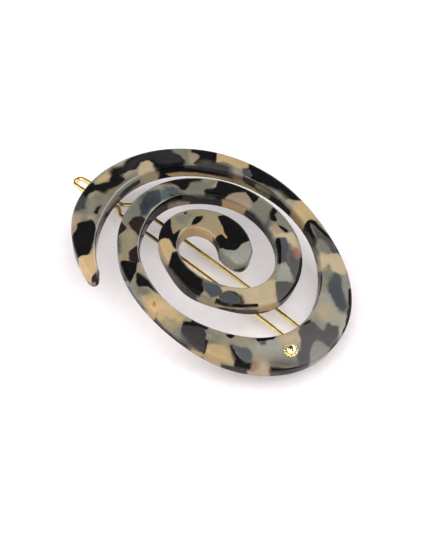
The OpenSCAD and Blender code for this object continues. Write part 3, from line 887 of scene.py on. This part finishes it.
def paper():
    n = Nodes("pale_floor")
    fibre = n.noise(420.0, 4.0, 0.6)
    fleck = n.between(fibre, 0.3, 0.7)
    reach = n.add("VectorMath", operation="LENGTH")
    n.feed(reach, 0, n.place())
    glow = n.between(reach.outputs["Value"], GLOW_FROM, GLOW_TO, FLOOR_GLOW, BACKDROP_GLOW)
    n.set(
        n.shader,
        Base_Color=n.mix(fleck, (0.815, 0.775, 0.785, 1.0), (0.85, 0.81, 0.82, 1.0)),
        Roughness=n.between(fibre, 0.3, 0.7, 0.75, 0.85),
        Specular_IOR_Level=0.2,
        Emission_Color=(1.0, 0.97, 0.98, 1.0),
        Emission_Strength=glow,
    )
    n.bump(fibre, 0.1, 0.0001)
    return n.material


shell = tortoiseshell()
wire_gold = gold("wire_gold", (0.92, 0.66, 0.2, 1.0), (1.0, 0.84, 0.38, 1.0), 0.08, shade_depth=0.75)
cast_gold = gold("cast_gold", (0.8, 0.55, 0.2, 1.0), (0.95, 0.74, 0.36, 1.0), 0.22)
stud_gold = gold("stud_gold", (0.95, 0.78, 0.4, 1.0), (1.0, 0.9, 0.6, 1.0), 0.1)

# Spiral piece

band = new_piece(
    "tortoiseshell_spiral", placed(band_crown), ring_faces(*out.shape), shell,
    "plate", "acetate", "spiral_plate",
)
for layer_name, values in (*depths.items(), ("side", side), ("inner_edge", inner_edge)):
    layer = band.data.attributes.new(layer_name, "FLOAT", "POINT")
    layer.data.foreach_set("value", values)

# Clasp wire

WIRE_SIDES = 24
CHAMFER = 0.08  # of the bow's two ends
# Rings of a pin's end: distance back from it, and how much smaller the radius is
PIN_END = ((0.1, 0.0), (0.03, 0.05), (0.0, 0.12))


def on_hinge(y):
    return [HINGE_X, CLASP_Y + y, -HINGE_DROP]


def bow_rings():
    """Rings of the swept wire, with a chamfer at both ends."""
    path = np.insert(bow_path, [1, len(bow_path) - 1], bow_path[[0, -1]], axis=0)
    path[1, 1] -= CHAMFER
    path[-2, 1] += CHAMFER
    k = np.full((len(path), 1), WIRE_D / 2)
    k[[0, -1]] -= CHAMFER
    x, z, slope = (v[:, None] for v in side_view(path[:, 0]))
    a = np.linspace(0, 2 * math.pi, WIRE_SIDES, endpoint=False)[None, :]
    head, slope = np.radians(path[:, 2:3]), np.radians(slope)
    along, down = -k * np.cos(a) * np.sin(head), k * np.sin(a)
    rings = np.stack([
        x - along * np.cos(slope) - down * np.sin(slope),
        CLASP_Y + path[:, 1:2] + k * np.cos(a) * np.cos(head),
        z + along * np.sin(slope) - down * np.cos(slope),
    ], -1)
    return rings, [on_hinge(wire_end), on_hinge(-wire_end)]


def pin_rings(side):
    """Rings of a turned-down pin with a small chamfer at its end."""
    far = wire_end + EAR_PLAY + EAR_T + PIN_PAST
    near = wire_end - SHOULDER_L + PIN_PAST
    a = np.linspace(0, 2 * math.pi, WIRE_SIDES, endpoint=False)
    rings = []
    for y, less in ((near, 0.0), *((far - back, less) for back, less in PIN_END)):
        r = PIN_D / 2 - less
        ring = [r * np.cos(a), 0 * a, side * r * np.sin(a)]
        rings.append(np.stack(ring, -1) + on_hinge(side * y))
    return np.array(rings), [on_hinge(side * near), on_hinge(side * far)]


points, faces = [], []
for rings, ends in (bow_rings(), pin_rings(1), pin_rings(-1)):
    base = sum(len(p) for p in points)
    points.append(np.concatenate([rings.reshape(-1, 3), ends]))
    faces += [[base + v for v in f] for f in ring_faces(*rings.shape[:2])]
new_piece("clasp_wire", placed(np.concatenate(points)), faces, wire_gold, "bow", "wire", "clasp_bow")

# Stud

BEADS, BEAD_SIDES, BEAD_DEPTH = 12, 10, 0.3
RIM_RINGS, DOME_RINGS = 11, 18
BEAD_RINGS = range(2, RIM_RINGS)  # the rings of the rim that are notched between the beads
DOME_TOP = 88  # degrees
# The groove inside the rim: its two rings inwards from the rim's crest and down from its top
GROOVE = ((0.06, 0.02), (0.1, 0.12))


def stud_points():
    """A domed stud in a ring of small beads, standing on the plate's top face."""
    rim_r = RIM_T / 2
    crest_r = STUD_D / 2 - rim_r
    profile = [
        (crest_r + rim_r * math.cos(t), rim_r + rim_r * math.sin(t))
        for t in np.radians(np.linspace(-90, 90, RIM_RINGS))
    ]
    profile += [(crest_r - inwards, RIM_T - down) for inwards, down in GROOVE]
    dome_r, dome_z = DOME_D / 2, RIM_T - DOME_SINK
    start = math.asin((profile[-1][1] - dome_z) / dome_r)
    profile += [
        (dome_r * math.cos(t), dome_z + dome_r * math.sin(t))
        for t in np.linspace(start, math.radians(DOME_TOP), DOME_RINGS)
    ]
    a = np.linspace(0, 2 * math.pi, BEADS * BEAD_SIDES, endpoint=False)
    notch = BEAD_DEPTH * (1 - np.abs(np.sin(BEADS * a / 2)))
    rings = []
    for i, (r, z) in enumerate(profile):
        ring_r = r - notch if i in BEAD_RINGS else r + 0 * a
        rings.append(np.stack([ring_r * np.cos(a), ring_r * np.sin(a), z + 0 * a], -1))
    flat = np.concatenate([*rings, [[0, 0, 0], [0, 0, profile[-1][1]]]])
    slope = math.asin(STUD_X / ARCH_R)
    c, s = math.cos(slope), math.sin(slope)
    x, y, z = flat[:, 0], flat[:, 1], flat[:, 2] + FIX_GAP
    top = ARCH_R * c - ARCH_R + PLATE_T
    crown = np.stack([STUD_X + x * c + z * s, STUD_Y + y, top - x * s + z * c], -1)
    return crown, ring_faces(len(profile), len(a))


stud_crown, stud_faces = stud_points()
new_piece("domed_stud", placed(stud_crown), stud_faces, stud_gold, "plate", "stud", "stud")

for node in ("hinge_bracket", "catch_post"):
    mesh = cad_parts[node].data
    mesh.materials.clear()
    mesh.materials.append(cast_gold)

# Floor, light and camera

TABLE_R, SWEEP_W, SWEEP_H = 0.45, 1.1, 0.55
SWEEP_FROM, SWEEP_TO, SWEEP_RINGS = 6, 90, 15  # degrees, degrees, count
BOWL_SIDES = 96


def bowl_floor():
    """A flat round table whose far edge sweeps up into a backdrop on every side."""
    outline = [(TABLE_R, 0.0)]
    for t in np.radians(np.linspace(SWEEP_FROM, SWEEP_TO, SWEEP_RINGS)):
        outline.append((TABLE_R + SWEEP_W * math.sin(t), SWEEP_H * (1 - math.cos(t))))
    turn = np.linspace(0, 2 * math.pi, BOWL_SIDES, endpoint=False)
    points = [(0.0, 0.0, 0.0)]
    for r, z in outline:
        points += [(r * math.cos(a), r * math.sin(a), z) for a in turn]
    faces = [(0, 1 + i, 1 + (i + 1) % BOWL_SIDES) for i in range(BOWL_SIDES)]
    for ring in range(len(outline) - 1):
        base = 1 + ring * BOWL_SIDES
        for i in range(BOWL_SIDES):
            j = (i + 1) % BOWL_SIDES
            faces.append((base + i, base + BOWL_SIDES + i, base + BOWL_SIDES + j, base + j))
    return new_object("floor", points, faces, paper())


floor = bowl_floor()

LAMP_DISTANCE = 0.9
WHITE, COOL = (1.0, 1.0, 1.0), (0.85, 0.95, 1.0)


def softbox(name, direction, width, height, radiance, diffuse=True, glossy=True, tint=WHITE):
    """A rectangular area light that faces the barrette."""
    light = bpy.data.lights.new(name, "AREA")
    light.shape, light.size, light.size_y = "RECTANGLE", width, height
    light.energy = radiance * math.pi * width * height
    light.color = tint
    lamp = bpy.data.objects.new(name, light)
    d = Vector(direction).normalized()
    facing = d.to_track_quat("Z", "Y").to_matrix().to_4x4()
    lamp.matrix_world = Matrix.Translation(d * LAMP_DISTANCE) @ facing
    lamp.visible_diffuse, lamp.visible_glossy = diffuse, glossy
    bpy.context.scene.collection.objects.link(lamp)


# The light on the matt surfaces, then the strips that only the gloss reflects
softbox("overhead", (0.2, -0.1, 0.9), 1.5, 1.5, 2.2, glossy=False)
softbox("left", (-0.9, -0.45, 0.5), 0.8, 0.8, 1.0, glossy=False)
softbox("front", (-0.25, -0.85, 0.6), 1.1, 0.9, 0.9)
softbox("strip_front", (0.3, -0.85, 0.4), 0.8, 0.3, 6.0, diffuse=False)
softbox("strip_back", (0.1, 0.9, 0.36), 1.0, 0.2, 4.5, diffuse=False, tint=COOL)
softbox("strip_right", (0.62, 0.48, 0.62), 0.6, 0.22, 7.0, diffuse=False, tint=COOL)
softbox("edge_glow", (0.5, -0.4, 0.8), 0.45, 0.45, 1.6, diffuse=False)

WORLD_COLOUR, WORLD_STRENGTH = (0.9, 0.9, 1.0, 1.0), 0.12
world = bpy.data.worlds.new("studio")
world.use_nodes = True
background = world.node_tree.nodes["Background"]
background.inputs["Color"].default_value = WORLD_COLOUR
background.inputs["Strength"].default_value = WORLD_STRENGTH
scene = bpy.context.scene
scene.world = world
scene.view_settings.view_transform = "Standard"

SENSOR_H = 36.0
CLIP_NEAR, CLIP_FAR = 0.01, 20.0
camera_data = bpy.data.cameras.new("camera")
camera_data.sensor_fit = "VERTICAL"
camera_data.sensor_height = SENSOR_H
camera_data.lens = VIEW_DISTANCE / IMAGE_H * SENSOR_H
camera_data.clip_start, camera_data.clip_end = CLIP_NEAR, CLIP_FAR
camera = bpy.data.objects.new("camera", camera_data)
scene.collection.objects.link(camera)
eye = placed(crown_from_px(EYE_PX))
lean = Matrix.Rotation(REST_TILT, 3, "Y")
axes = [lean @ Vector(v) for v in (VIEW_R, VIEW_U, VIEW_B)]
camera.matrix_world = Matrix.Translation(Vector(eye)) @ Matrix(axes).transposed().to_4x4()
scene.camera = camera
